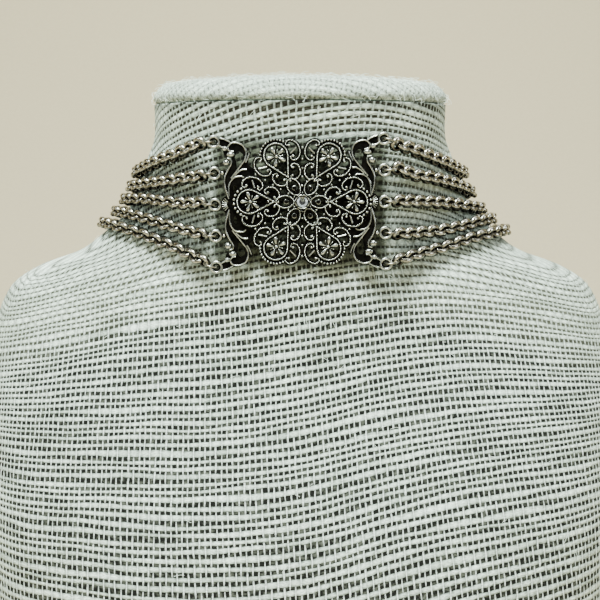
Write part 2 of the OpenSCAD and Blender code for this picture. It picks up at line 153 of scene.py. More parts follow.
bpy.ops.object.select_all(action="DESELECT")
bpy.ops.mesh.primitive_plane_add(size=2 * FLOOR_HALF, location=(0, -FLOOR_FORWARD, 0))
floor = bpy.context.object
floor.name = "floor"
bpy.ops.object.mode_set(mode="EDIT")
bpy.ops.mesh.select_mode(type="EDGE")
bpy.ops.mesh.select_all(action="DESELECT")
bpy.ops.object.mode_set(mode="OBJECT")
for edge in floor.data.edges:
    edge.select = all(floor.data.vertices[v].co.y > 0 for v in edge.vertices)
bpy.ops.object.mode_set(mode="EDIT")
bpy.ops.mesh.extrude_region_move(
    TRANSFORM_OT_translate={"value": (0, 0, BACKDROP_HEIGHT)})
bpy.ops.object.mode_set(mode="OBJECT")
corner = floor.modifiers.new("corner", "BEVEL")
corner.width = BACKDROP_CURVE
corner.segments = 24
bpy.ops.object.modifier_apply(modifier=corner.name)
bpy.ops.object.transform_apply(location=True)
bpy.ops.object.shade_smooth()

paper, tree, shader = new_material("matt_backdrop_paper")
grain = add(tree, "TexNoise", inputs={"Scale": 1 / (PAPER_GRAIN_MM * MM), "Detail": 2.0})
tint = add(tree, "Mix", grain, linear("#c6b798"), linear("#cdbfa1"), data_type="RGBA")
fill(shader, {"Base Color": tint, "Roughness": 0.95})
floor.data.materials.append(paper)
print("floor:", len(floor.data.polygons), "faces")

# %% [markdown]
# ## Light
#
# The photograph has one main soft light, steeply from above, so the cloth behind the
# pierced plaque lies in shade and every wire has one bright line. Area lights give that
# softness, and weak ones at the sides fill the shadows. The room stays dim and warm, so
# round metal is dark and brownish underneath.

# %% Lights
AIM_FORWARD = 0.04
LIGHTS = [  # name, place, size, watts, colour
    ("key_above", (-0.14, -0.52, 1.12), 0.42, 59.0, "#effcf4"),
    ("top_back", (0.2, 0.3, 1.1), 0.6, 7.0, "#f4faf8"),
    ("front_fill", (0.1, -1.5, 0.45), 0.8, 3.0, "#f2faf8"),
    ("side_left", (-0.9, -0.2, 0.5), 0.3, 2.6, "#f0f8f6"),
    ("side_right", (0.9, -0.2, 0.5), 0.3, 4.2, "#f0f8f6")]

for name, place, size, watts, colour in LIGHTS:
    bpy.ops.object.light_add(type="AREA", location=place)
    light = bpy.context.object
    light.name = name
    light.data.size = size
    light.data.energy = watts
    light.data.color = linear(colour)[:3]
    aim = Vector((0, NECK_Y * MM - AIM_FORWARD, PLAQUE_Z * MM)) - Vector(place)
    light.rotation_euler = aim.to_track_quat("-Z", "Y").to_euler()

world = bpy.data.worlds.new("dim_room")
bpy.context.scene.world = world
world.use_nodes = True
room = world.node_tree.nodes["Background"]
fill(room, {"Color": linear("#9c8a6c"), "Strength": 0.2})
print("lights:", len(LIGHTS))

# %% [markdown]
# ## Metals
#
# The choker is cast and stamped base metal with an antique silver plate. It was dipped
# in a blackening bath and then polished, so the raised parts are bright and the
# recesses stay black. A polishing wheel reaches only what faces out, so the relief is
# bright where it faces out and black on its sides. A link is dark inside, where the
# blackening stays. It also has painted shade underneath and is left bright where it
# faces up and out, towards the main light. An attribute on its mesh says where.

# %% Silver finishes
PLAQUE_BACK = 50.3
PLAQUE_LEAN = math.radians(4)
PLAQUE_ROLL = math.radians(1.1)
TARNISH_RANGE = (0.4, 0.7)
RUBBED_RANGE = (0.3, 0.62)


def plaque(u, v, w=0.0):
    across = u * math.cos(PLAQUE_ROLL) - v * math.sin(PLAQUE_ROLL)
    up = u * math.sin(PLAQUE_ROLL) + v * math.cos(PLAQUE_ROLL)
    return Vector((across,
                   NECK_Y - PLAQUE_BACK + up * math.sin(PLAQUE_LEAN)
                   - w * math.cos(PLAQUE_LEAN),
                   PLAQUE_Z + up * math.cos(PLAQUE_LEAN) + w * math.sin(PLAQUE_LEAN)))


def silver(name, light_hex, dark_hex, roughness, tarnish_mm, tarnish):
    material, tree, shader = new_material(name)
    patches = add(tree, "TexNoise", inputs={
        "Vector": add(tree, "TexCoord").outputs["Object"],
        "Scale": 1 / (tarnish_mm * MM), "Detail": 4.0})
    amount = add(tree, "MapRange", patches, *TARNISH_RANGE, 0.0, tarnish)
    colour = add(tree, "Mix", amount, linear(light_hex), linear(dark_hex),
                 data_type="RGBA")
    polish = add(tree, "MapRange", patches, *NOISE_RANGE,
                 roughness - 0.06, roughness + 0.1)
    fill(shader, {"Base Color": colour, "Roughness": polish, "Metallic": 1.0})
    return material, tree, shader, colour


blackened = silver("antique_silver_blackened", "#161513", "#050505", 0.45, 1.2, 1.0)[0]
ring_silver = silver("antique_silver_ring", "#969286", "#38342b", 0.3, 0.8, 0.9)[0]

OUT = (plaque(0, 0, 1) - plaque(0, 0, 0)).normalized()
relief_silver, tree, shader, colour = silver(
    "antique_silver_relief", "#b1b4ae", "#5c5d57", 0.25, 0.7, 0.8)
normal = add(tree, "NewGeometry").outputs["Normal"]
facing = add(tree, "VectorMath", normal, OUT, operation="DOT_PRODUCT")
polished = add(tree, "MapRange", facing, *RUBBED_RANGE, 0.0, 1.0,
               interpolation_type="SMOOTHSTEP")
rubbed_and_shaded = add(tree, "Mix", polished, linear("#12110f"), colour, data_type="RGBA")
fill(shader, {"Base Color": rubbed_and_shaded})

chain_silver, tree, shader, colour = silver(
    "antique_silver_chain", "#cbc8bc", "#6d6757", 0.24, 1.3, 0.9)
# Painted shade on the links' undersides, with the oxide in their holes, read from the mesh
# attribute.
hidden = add(tree, "Attribute", attribute_name="tarnish_and_shade").outputs["Fac"]
rubbed_and_shaded = add(tree, "Mix", hidden, colour, linear("#17140f"), data_type="RGBA")
fill(shader, {"Base Color": rubbed_and_shaded})

for node in ("scroll_frame_left", "scroll_frame_right", "rosette", "stone_setting"):
    dress(node, blackened)
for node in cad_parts:
    if node.startswith("jump_ring"):
        dress(node, ring_silver)
dress("clasp", chain_silver)
print("metals:", relief_silver.name, chain_silver.name, blackened.name)

# %% [markdown]
# ## Helpers for pieces
#
# Much of the choker is one small shape repeated: a link, a bead, a petal. Each is
# modelled once from a primitive and stamped wherever it is needed, into one mesh, which
# keeps the number of objects small. Round wire is drawn along a path. A finished piece
# sits at the origin with its place in its mesh, so that patterns on it do not slide.

# %% Helpers for pieces
def finish_piece(piece, name, material, replaces=()):
    piece.name = name
    piece.data.name = name
    piece.data.materials.clear()
    piece.data.materials.append(material)
    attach(piece, "root")
    if replaces:
        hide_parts(*replaces)
    print(name, len(piece.data.polygons), "faces")


def mesh_object(name, points, faces):
    mesh = bpy.data.meshes.new(name)
    mesh.from_pydata([tuple(p) for p in points], [], faces)
    piece = bpy.data.objects.new(name, mesh)
    bpy.context.collection.objects.link(piece)
    mesh.polygons.foreach_set("use_smooth", [True] * len(mesh.polygons))
    return piece


def take_model():
    model = bpy.context.object
    shape = ([v.co.copy() for v in model.data.vertices],
             [tuple(p.vertices) for p in model.data.polygons])
    bpy.data.objects.remove(model, do_unlink=True)
    return shape


def torus(major_radius, minor_radius, sides=28, wire_sides=8, rotation=(0, 0, 0)):
    bpy.ops.object.select_all(action="DESELECT")
    bpy.ops.mesh.primitive_torus_add(major_segments=sides, minor_segments=wire_sides,
                                     major_radius=major_radius,
                                     minor_radius=minor_radius, rotation=rotation)
    bpy.ops.object.transform_apply(rotation=True)
    return take_model()


def stamp(name, shape, matrices):
    points, faces = [], []
    for matrix in matrices:
        first = len(points)
        points.extend(matrix @ p for p in shape[0])
        faces.extend(tuple(first + i for i in face) for face in shape[1])
    return mesh_object(name, [p * MM for p in points], faces)


def join(pieces):
    bpy.ops.object.select_all(action="DESELECT")
    for piece in pieces:
        piece.select_set(True)
    bpy.context.view_layer.objects.active = pieces[0]
    bpy.ops.object.join()
    return bpy.context.object


def close_and_smooth():
    bpy.ops.mesh.select_all(action="DESELECT")
    bpy.ops.mesh.select_mode(type="EDGE")
    bpy.ops.mesh.select_non_manifold()
    bpy.ops.mesh.fill_holes(sides=0)
    bpy.ops.mesh.select_all(action="SELECT")
    bpy.ops.mesh.normals_make_consistent(inside=False)
    bpy.ops.object.mode_set(mode="OBJECT")
    bpy.ops.object.shade_smooth()


def curve_point(a, b, c, d, t):
    return 0.5 * (2 * b + (c - a) * t + (2 * a - 5 * b + 4 * c - d) * t ** 2
                  + (3 * b - a - 3 * c + d) * t ** 3)


def smooth(points, steps):
    last = len(points) - 1
    run = []
    for i in range(last):
        a, b = points[max(i - 1, 0)], points[i]
        c, d = points[i + 1], points[min(i + 2, last)]
        run += [curve_point(a, b, c, d, k / steps) for k in range(steps)]
    return run + [points[last]]


def walk(points, pitch, start=0.0, count=None):
    lengths = [0.0]
    for a, b in zip(points, points[1:]):
        lengths.append(lengths[-1] + (b - a).length)
    if count is None:
        count = max(int((lengths[-1] - start) / pitch) + 1, 1)
    found = []
    for n in range(count):
        s = start + n * pitch
        i = 1
        while i < len(points) - 1 and lengths[i] < s:
            i += 1
        a, b = points[i - 1], points[i]
        step = lengths[i] - lengths[i - 1]
        t = (s - lengths[i - 1]) / step
        found.append((a + (b - a) * t, (b - a).normalized()))
    return found, lengths[-1]


def wire(name, paths, radius, rounds=2):
    data = bpy.data.curves.new(name, "CURVE")
    data.dimensions = "3D"
    data.bevel_depth = radius * MM
    data.bevel_resolution = rounds
    data.use_fill_caps = True
    for path in paths:
        line = data.splines.new("POLY")
        line.points.add(len(path) - 1)
        for point, spot in zip(line.points, path):
            point.co = (*(spot * MM), 1)
    made = bpy.data.objects.new(name, data)
    bpy.context.collection.objects.link(made)
    bpy.ops.object.select_all(action="DESELECT")
    made.select_set(True)
    bpy.context.view_layer.objects.active = made
    bpy.ops.object.convert(target="MESH")
    bpy.ops.object.shade_smooth()
    return bpy.context.object


# %% [markdown]
# ## The linen
#
# The bust is covered in a coarse, open plain weave. Thick, uneven weft threads run
# across it, thin warp threads run down it, and dark little windows show between them.
# The windows' dark colours are painted shade. So is the darkening of each thread
# towards its edges and where warp and weft cross.
# The thread spacing was counted on the photograph: 1.6 mm for the warp and 2.5 mm for
# the weft. The cloth's own UV map is measured in millimetres along its threads, so
# the weave follows the body as the real cloth does. Fluff half fills some of the
# windows. Round the neck the cloth is pulled less tight: the weft covers more, and the
# windows under the cap look brown. Where the cloth is seen at a slant its threads hide
# the windows, so they cover more there. The cloth behind the pierced plaque and along
# the cap's seam is darker in the photograph than this light makes it, so an attribute
# on the mesh tints it there.

# %% Linen material
WARP_MM = 1.58
WEFT_MM = 2.5
NECK_BEGINS = (152, 167)
SHOULDER_RISE = 0.35
NECK_TOP = (-35, -10)
ROW_DRIFT = [(0.012, 0.12, 0.8, 0.0), (0.08, 0.3, 0.25, 3.0)]  # scales, mm, layer
COLUMN_DRIFT = [(0.16, 0.02, 0.35, 5.0), (0.5, 0.2, 0.15, 7.0)]
SLUB = (0.8, 1.2)
SLANT_COVERS, SLANT_RANGE = 0.24, (0.45, 0.85)
# Painted shade in the windows: on the chest, on the neck, and brown towards the cap.
LINEN_GAP_SHADE = ("#0f100d", "#3d3e34", "#211e15")
LINEN_WEFT = ("#98a398", "#d6e2d7")
LINEN_WARP = "#eaf4ed"
FLUFF_IN_GAP = "#64675d"
SHADE_TINT = "#6c6a61"


def linen(name, weft_covers, warp_covers, fuzz, soft=0.0):
    material, tree, shader = new_material(name)
    node = partial(add, tree)

    def noise(x, y, scale_x, scale_y, detail=2.0, layer=0.0):
        spot = node("CombineXYZ", node("Math", x, scale_x, operation="MULTIPLY"),
                    node("Math", y, scale_y, operation="MULTIPLY"), layer)
        return node("TexNoise", inputs={"Vector": spot, "Scale": 1.0, "Detail": detail})

    axes = node("SeparateXYZ", node("UVMap", uv_map="threads"))
    across, down = axes.outputs["X"], axes.outputs["Y"]
    place, run, number = {}, {}, {}
    for key, ruler, pitch, waves in (("warp", across, WARP_MM, COLUMN_DRIFT),
                                     ("weft", down, WEFT_MM, ROW_DRIFT)):
        place[key] = ruler
        for wide, tall, reach, layer in waves:
            drift = noise(across, down, wide, tall, layer=layer)
            drift = node("MapRange", drift, *NOISE_RANGE, -reach, reach)
            place[key] = node("Math", place[key], drift, operation="ADD")
        run[key] = node("Math", place[key], pitch, operation="DIVIDE")
        number[key] = node("Math", run[key], operation="FLOOR")

    spot = node("SeparateXYZ", node("TexCoord").outputs["Object"])
    zone = node("Math", node("Math", spot.outputs["X"], operation="ABSOLUTE"),
                SHOULDER_RISE, spot.outputs["Z"], operation="MULTIPLY_ADD")
    on_neck = node("MapRange", zone, *(h * MM for h in NECK_BEGINS), 0.0, 1.0)
    slant = node("LayerWeight", 0.5).outputs["Facing"]
    hidden = node("MapRange", slant, *SLANT_RANGE, 0.0, SLANT_COVERS)
    body, slub, height = {}, {}, {}
    for key, other, (chest, neck, top), thick, lift in (
            ("warp", "weft", warp_covers, 0.6, 0.4),
            ("weft", "warp", weft_covers, 1.0, -0.3)):
        cover = node("Math", on_neck, neck - chest, chest, operation="MULTIPLY_ADD")
        more = node("MapRange", down, *NECK_TOP, 0.0, top - neck)
        more = node("Math", more, hidden, operation="ADD")
        cover = node("Math", cover, more, operation="ADD")
        slub[key] = noise(place[other], number[key], 0.06, 7.31, 4.0)
        width = node("MapRange", slub[key], *NOISE_RANGE, *SLUB)
        width = node("Math", cover, width, operation="MULTIPLY")
        offset = node("Math", run[key], operation="FRACT")
        offset = node("Math", offset, 0.5, operation="SUBTRACT")
        offset = node("Math", offset, operation="ABSOLUTE")
        offset = node("Math", offset, 2.0, operation="MULTIPLY")
        offset = node("Math", offset, width, operation="DIVIDE")
        offset = node("Math", offset, 2.0, operation="POWER")
        body[key] = node("Math", 1.0, offset, operation="SUBTRACT")
        turn = node("Math", run[other], number[key], operation="ADD")
        turn = node("Math", turn, math.pi, operation="MULTIPLY")
        wave = node("Math", turn, operation="SINE")
        level = node("Math", wave, lift, 0.6, operation="MULTIPLY_ADD")
        level = node("Math", body[key], thick, level, operation="MULTIPLY_ADD")
        inside = node("MapRange", body[key], 0.0, 0.3, 0.0, 1.0)
        height[key] = node("Math", level, inside, operation="MULTIPLY")

    top = node("Math", *height.values(), operation="MAXIMUM")
    step = node("Math", *height.values(), operation="SUBTRACT")
    warp_over = node("Math", step, 0.0, operation="GREATER_THAN")
    # Painted shade where warp and weft cross at the same height, a little less on the neck.
    crossing_shade = node("Math", step, operation="ABSOLUTE")
    crossing_shade = node("MapRange", crossing_shade, 0.0, 0.35, 0.7, 1.0)
    crossing_shade = node("Math", on_neck, 0.12, crossing_shade, operation="MULTIPLY_ADD")
    # Painted shade: each thread darker towards its edges, and the windows between them
    # dark.
    lit = node("MapRange", top, 0.3, 1.68, soft, 1.0)
    lit = node("Math", lit, 1.3, operation="POWER")

    light, dull = (linear(LINEN_WARP), linear(LINEN_WEFT[0]))
    tone = node("MapRange", slub["weft"], *NOISE_RANGE, 0.0, 1.0)
    weft = node("Mix", tone, dull, linear(LINEN_WEFT[1]), data_type="RGBA")
    tone = node("Math", on_neck, 0.7, operation="MULTIPLY")
    warp = node("Mix", tone, light, dull, data_type="RGBA")
    yarn = node("Mix", warp_over, weft, warp, data_type="RGBA")
    fibre = noise(across, down, 1.3, 2.6, 5.0, 9.0)
    streak = node("MapRange", fibre, 0.34, 0.64, 0.6, 1.2)
    streak = node("Math", streak, crossing_shade, operation="MULTIPLY")
    yarn = node("Mix", 1.0, yarn, streak, data_type="RGBA", blend_type="MULTIPLY")
    # The windows' painted shade, brown towards the cap, partly filled with fluff.
    gaps = [linear(colour) for colour in LINEN_GAP_SHADE]
    gap = node("Mix", on_neck, gaps[0], gaps[1], data_type="RGBA")
    tone = node("MapRange", down, *NECK_TOP, 0.0, 1.0)
    gap = node("Mix", tone, gap, gaps[2], data_type="RGBA")
    fluffy = noise(across, down, 0.6, 0.7, 3.0, 13.0)
    fluffy = node("MapRange", fluffy, 0.48, 0.72, 0.0, 0.55)
    gap = node("Mix", fluffy, gap, linear(FLUFF_IN_GAP), data_type="RGBA")
    cloth = node("Mix", lit, gap, yarn, data_type="RGBA")
    shade = node("Attribute", attribute_name="shade").outputs["Fac"]
    cloth = node("Mix", shade, cloth, linear(SHADE_TINT), data_type="RGBA",
                 blend_type="MULTIPLY")
    relief = node("Math", fibre, fuzz, top, operation="MULTIPLY_ADD")
    bump = node("Bump", 0.7, 0.4 * MM, inputs={"Height": relief})
    fill(shader, {"Base Color": cloth, "Normal": bump, "Roughness": 0.95,
                  "Specular IOR Level": 0.15})
    return material


# How much of its pitch a thread covers: on the chest, on the neck, under the cap.
bust_linen = linen("linen_plain_weave", (0.6, 0.8, 0.7), (0.28, 0.44, 0.36), 1.2)
cap_linen = linen("linen_padded_cap", 3 * (0.88,), 3 * (0.84,), 1.8, 0.35)

# %% [markdown]
# ## The bust
#
# A bust like this is a hollow form with cloth stretched over it. A grid primitive is
# wrapped round the neck's axis, one column for each few degrees, and every point is put
# on the same section curves as the solid: a round neck that blends into a squarish
# torso. The cloth hangs askew: its rows drop steeply round the neck's sides and wave
# across the chest. A short table says how far a row lies above or below its own middle,
# read from single threads that were followed across the photograph. The same grid gives
# the cloth its lengths across and down, and the places where it lies in shade.

# %% Bust shape
BUST_ROWS = [  # height, neck radius, torso half width, front, back, squareness
    (206, 48.3, 0, 0, 0, 2.0), (196, 48.3, 30, 15, 15, 2.0), (188, 48.6, 47, 20, 20, 2.0),
    (182, 49.0, 50, 24, 24, 2.0), (176, 49.3, 53.5, 28, 27, 2.0),
    (170, 49.8, 58, 31, 30, 2.0), (164, 50.3, 65.5, 34, 33, 2.0),
    (158, 51.0, 74, 37, 36, 2.0), (153, 51.8, 87.5, 40, 39, 2.0),
    (147, 53.0, 96.8, 43, 42, 2.1), (138, 55.5, 101.5, 48, 47, 2.2),
    (126, 58.5, 104, 58, 53, 2.3), (110, 60.0, 104.5, 73, 59, 2.5),
    (87, 60.0, 104, 92, 65, 2.6), (61, 60.0, 102, 104, 68, 2.6),
    (31, 60.0, 99, 106, 68, 2.6), (0, 60.0, 95, 103, 66, 2.6)]
BLEND = 10
BUST_COLUMNS = 180
BUST_LEVELS = 150
STEPS_PER_ROW = 12


def section_radius(row, angle):
    height, neck, half_width, front, back, square = row
    if half_width <= 0:
        return neck
    depth = front if math.cos(angle) >= 0 else back
    torso = ((abs(math.sin(angle)) / half_width) ** square
             + (abs(math.cos(angle)) / depth) ** square) ** (-1 / square)
    return (neck ** BLEND + torso ** BLEND) ** (1 / BLEND)


def bust_column(angle):
    points = [Vector((section_radius(row, angle), row[0])) for row in BUST_ROWS]
    return smooth(points, STEPS_PER_ROW)


def sample(column, share):
    s = share * (len(column) - 1)
    i = min(int(s), len(column) - 2)
    return column[i].lerp(column[i + 1], s - i)


bpy.ops.object.select_all(action="DESELECT")
bpy.ops.mesh.primitive_grid_add(x_subdivisions=BUST_COLUMNS, y_subdivisions=BUST_LEVELS,
                                size=2, calc_uvs=True)
bust = bpy.context.object
columns = {}
places = []
for vertex in bust.data.vertices:
    share = (1 - vertex.co.y) / 2
    angle = vertex.co.x * math.pi
    key = round(angle, 5)
    if key not in columns:
        columns[key] = bust_column(angle)
    radius, height = sample(columns[key], share)
    places.append((angle, share, radius, height))
front_column = columns[min(columns, key=abs)]
WEFT_ANGLES = [-80, -65, -50, -35, -20, 0, 20, 35, 50, 65, 80]
WEFT_LIFT = [  # height over the plaque, then how far a row lies above its own middle
    (28, [-19.5, -15.5, -11.8, -7.8, -3.9, 0, 2.2, 1.7, -0.4, -2.6, -4.5]),
    (0, [-18.5, -14.2, -10.4, -7.0, -3.8, 0, 2.3, 2.3, 0.6, -2.0, -4.9]),
    (-25, [-29, -17.7, -9.9, -6.4, -3.6, 0, 2.6, 3.3, 2.6, -2.0, -12]),
    (-45, [-22.2, -15.6, -8.7, -5.6, -3.5, 0, 3.4, 5.0, 5.0, 1.5, -4.0]),
    (-70, [-14, -9.4, -6.2, -3.8, -3.0, 0, 5.2, 8.0, 8.3, 6.6, 4]),
    (-95, [-9, -7, -5.5, -3.0, -2.3, 0, 7.3, 10.2, 9.8, 8.5, 7])]
NECK_SPREAD = 0.0083
NECK_STRETCH = 0.13
CLOTH_TILT = 0.06
EYELETS = [(sign * 25.0, k * 9.2) for sign in (-1, 1) for k in range(-2, 3)]
CLOTH_BEHIND = 1.034  # as far as the cloth from the camera, when the plaque is at 1
PLAQUE_SHADE = (27, 21)
HOLE_SHADE = 2.7


def ramp(value, start, stop):
    share = min(max((value - start) / (stop - start), 0), 1)
    return share * share * (3 - 2 * share)


def lift_in_row(values, degrees):
    if abs(degrees) >= WEFT_ANGLES[-1]:
        end = values[0] if degrees < 0 else values[-1]
        return end * (180 - abs(degrees)) / (180 - WEFT_ANGLES[-1])
    i = max(n for n, a in enumerate(WEFT_ANGLES[:-1]) if a <= degrees)
    t = (degrees - WEFT_ANGLES[i]) / (WEFT_ANGLES[i + 1] - WEFT_ANGLES[i])
    around = [values[min(max(i + n, 0), len(values) - 1)] for n in (-1, 0, 1, 2)]
    return curve_point(*around, t)


def weft_lift(height, angle):
    over = min(max(height - PLAQUE_Z, WEFT_LIFT[-1][0]), WEFT_LIFT[0][0])
    i = max(n for n in range(len(WEFT_LIFT) - 1) if WEFT_LIFT[n][0] >= over)
    (top, upper), (bottom, lower) = WEFT_LIFT[i], WEFT_LIFT[i + 1]
    share = (top - over) / (top - bottom)
    degrees = math.degrees(angle)
    return (lift_in_row(upper, degrees) * (1 - share) + lift_in_row(lower, degrees) * share)


def cloth_step(a, b):
    round_part = (b - a).length
    chest_part = max(abs(b.x - a.x), 0.75 * round_part)
    neck = ramp((a.z + b.z) / 2 - PLAQUE_Z, -30, -15)
    return neck * round_part + (1 - neck) * chest_part


levels = sorted({round(p[1], 5) for p in places})
angles = sorted(columns)
middle = min(angles, key=abs)
girth = {}
for share in levels:
    ring = {}
    for side in (1, -1):
        run, last = 0.0, None
        for angle in (a for a in (angles if side > 0 else angles[::-1])
                      if side * (a - middle) >= 0):
            radius, height = sample(columns[angle], share)
            spot = Vector((radius * math.sin(angle), radius * math.cos(angle), height))
            if last is not None:
                run += cloth_step(last, spot)
            ring[angle] = side * run
            last = spot
    girth[share] = ring
down = [0.0]
for a, b in zip(front_column, front_column[1:]):
    stretch = 1 + NECK_STRETCH * ramp((a.y + b.y) / 2 - PLAQUE_Z, -30, -10)
    down.append(down[-1] + (b - a).length * stretch)


def cloth_down(height):
    if height >= front_column[0].y:
        return (front_column[0].y - height) * (1 + NECK_STRETCH)
    for i in range(1, len(front_column)):
        if front_column[i].y <= height:
            a, b = front_column[i - 1], front_column[i]
            t = (a.y - height) / max(a.y - b.y, 1e-6)
            return down[i - 1] + (down[i] - down[i - 1]) * t
    return down[-1] + (front_column[-1].y - height)


threads = []
for angle, share, radius, height in places:
    over = height - PLAQUE_Z
    wider = math.exp(NECK_SPREAD * min(max(over + 10, 0), 40))
    across = girth[round(share, 5)][round(angle, 5)] / wider + CLOTH_TILT * min(over, 0)
    threads.append((across, -cloth_down(height - weft_lift(height, angle))))
for vertex, (angle, share, radius, height) in zip(bust.data.vertices, places):
    vertex.co = Vector((radius * math.sin(angle), NECK_Y - radius * math.cos(angle),
                        height)) * MM
eye = camera.location / MM
holes = [eye + (plaque(u, v) - eye) * CLOTH_BEHIND for u, v in EYELETS]
shade = bust.data.attributes.new("shade", "FLOAT", "POINT")
for vertex in bust.data.vertices:
    place = vertex.co / MM
    nearest = min(math.hypot(place.x - hole.x, place.z - hole.z) for hole in holes)
    behind = (ramp(PLAQUE_SHADE[0] - abs(place.x), 0, 2)
              * ramp(PLAQUE_SHADE[1] - abs(place.z - PLAQUE_Z), 0, 4))
    behind = max(behind, ramp(HOLE_SHADE - nearest, 0, 1.2))
    under_cap = 0.5 * ramp(place.z - BUST_ROWS[0][0], -3.5, -0.5)
    shade.data[vertex.index].value = max(behind if place.y < NECK_Y else 0.0, under_cap)
bust.data.uv_layers[0].name = "threads"
for loop in bust.data.loops:
    bust.data.uv_layers[0].data[loop.index].uv = threads[loop.vertex_index]

bpy.ops.object.mode_set(mode="EDIT")
bpy.ops.mesh.select_all(action="SELECT")
bpy.ops.mesh.remove_doubles(threshold=0.01 * MM)
close_and_smooth()
finish_piece(bust, "linen_bust", bust_linen, ["bust"])

# %% [markdown]
# ## The padded cap
#
# The neck ends in a padded disc with its own round of linen, tucked under at the edge.
# A circle is extruded and scaled step by step along the disc's soft profile, as a potter
# would raise a wall, and a low unevenness in the edge shows the padding under the cloth.

# %% Cap
CAP_SIDES = 144
CAP_PROFILE = [(46.9, 0.1), (47.9, 0.6), (48.5, 1.8), (48.3, 3.0), (47.6, 4.1),
               (46.2, 5.6), (44.2, 6.7), (40.5, 7.4), (36.0, 7.9), (30.0, 8.4),
               (20.0, 9.0), (10.0, 9.3), (2.0, 9.4)]
CAP_BOTTOM = cap_low.z / MM
CAP_BUMPS = 12
CAP_RIM = 48
random.seed(4)

bpy.ops.object.select_all(action="DESELECT")
bpy.ops.mesh.primitive_circle_add(vertices=CAP_SIDES, radius=CAP_PROFILE[0][0],
                                  fill_type="NOTHING", location=(0, 0, 0))
cap = bpy.context.object
bpy.ops.object.mode_set(mode="EDIT")
bpy.ops.mesh.select_all(action="SELECT")
profile = smooth([Vector(p) for p in CAP_PROFILE], 3)
for a, b in zip(profile, profile[1:]):
    bpy.ops.mesh.extrude_region_move(
        TRANSFORM_OT_translate={"value": (0, 0, b.y - a.y)})
    bpy.ops.transform.resize(value=(b.x / a.x, b.x / a.x, 1))
bpy.ops.mesh.merge(type="CENTER")
close_and_smooth()

reach = [0.0]
for a, b in zip(profile[::-1], profile[::-1][1:]):
    reach.append(reach[-1] + (b - a).length)


def cap_reach(radius, height):
    nearest = min(range(len(profile)),
                  key=lambda n: (profile[::-1][n] - Vector((radius, height))).length)
    return profile[-1].x + reach[nearest] if radius > 1 else radius


bumps = [(random.randint(3, 17), random.uniform(0, math.tau), random.uniform(0.02, 0.07))
         for n in range(CAP_BUMPS)]
map_layer = cap.data.uv_layers.new(name="threads")
shade = cap.data.attributes.new("shade", "FLOAT", "POINT")
cap_threads = []
for vertex in cap.data.vertices:
    angle = math.atan2(vertex.co.x, -vertex.co.y)
    radius = math.hypot(vertex.co.x, vertex.co.y)
    away = cap_reach(radius, vertex.co.z)
    cap_threads.append((away * math.sin(angle), away * math.cos(angle)))
    shade.data[vertex.index].value = 0.3 * ramp(3.4 - vertex.co.z, 0, 3)
    swell = sum(size * math.sin(rate * angle + phase) for rate, phase, size in bumps)
    edge = ramp(radius, 20, 46)
    height = vertex.co.z + 0.8 * edge * swell * ramp(vertex.co.z, 0, 3)
    vertex.co = Vector((vertex.co.x * (1 + edge * swell / CAP_RIM),
                        vertex.co.y * (1 + edge * swell / CAP_RIM) + NECK_Y,
                        height + CAP_BOTTOM)) * MM
for loop in cap.data.loops:
    map_layer.data[loop.index].uv = cap_threads[loop.vertex_index]
finish_piece(cap, "linen_cap", cap_linen, ["neck_cap"])

# %% [markdown]
# ## Stray fibres
#
# Spun linen is hairy, and the fine fibres show most along the cap's edge and the
# shoulders, where they stand against the backdrop. Each fibre is a short, thin, bent wire
# that starts at a random point of the cloth and leaves it at a low angle.

# %% Fibres
BUST_FIBRES = 900
CAP_FIBRES = 1100
FIBRE_RADIUS = 0.045
FIBRE_CLEAR = 10  # none within this height of the floor


def fibre_path(start, normal):
    side = Vector([random.uniform(-1, 1) for n in range(3)])
    side = (side - normal * side.dot(normal)).normalized()
    bend = normal.cross(side) * random.uniform(-0.5, 0.5)
    length = random.uniform(0.9, 3.0)
    lift = random.uniform(0.15, 0.6)
    return [start + (side * t + bend * t * t + normal * lift * t * (1.6 - t)) * length
            for t in (0, 0.33, 0.66, 1.0)]


random.seed(23)
fibres = []
shaded = bust.data.attributes["shade"].data
for cloth, count in ((bust, BUST_FIBRES), (cap, CAP_FIBRES)):
    for vertex in random.sample(list(cloth.data.vertices), count):
        low = vertex.co.z < FIBRE_CLEAR * MM
        if cloth == bust and (shaded[vertex.index].value > 0 or low):
            continue
        fibres.append(fibre_path(vertex.co / MM + vertex.normal * 0.1, vertex.normal))
fluff, tree, shader = new_material("linen_fibre")
fill(shader, {"Base Color": linear("#dfe8df"), "Roughness": 0.8})
finish_piece(wire("fibres", fibres, FIBRE_RADIUS, 0), "cloth_fibres", fluff)

# %% [markdown]
# ## The chain
#
# The strands are rolo chain: round links of broad wire, each turned a quarter turn from
# the last. In the photograph one link of every pair lies nearly flat on the cloth and the
# next stands out from it with its front edge low, and the wire is a little wider than it
# is thick. One link is a torus primitive that is widened along its axis and drawn out a
# little along the chain, and it is stamped along the same route as the solid strand. Its
# pitch is the length of the link's hole, as in a chain that is pulled straight. Each
# start is a distance from the middle, forward and up, and each route a radius and height.

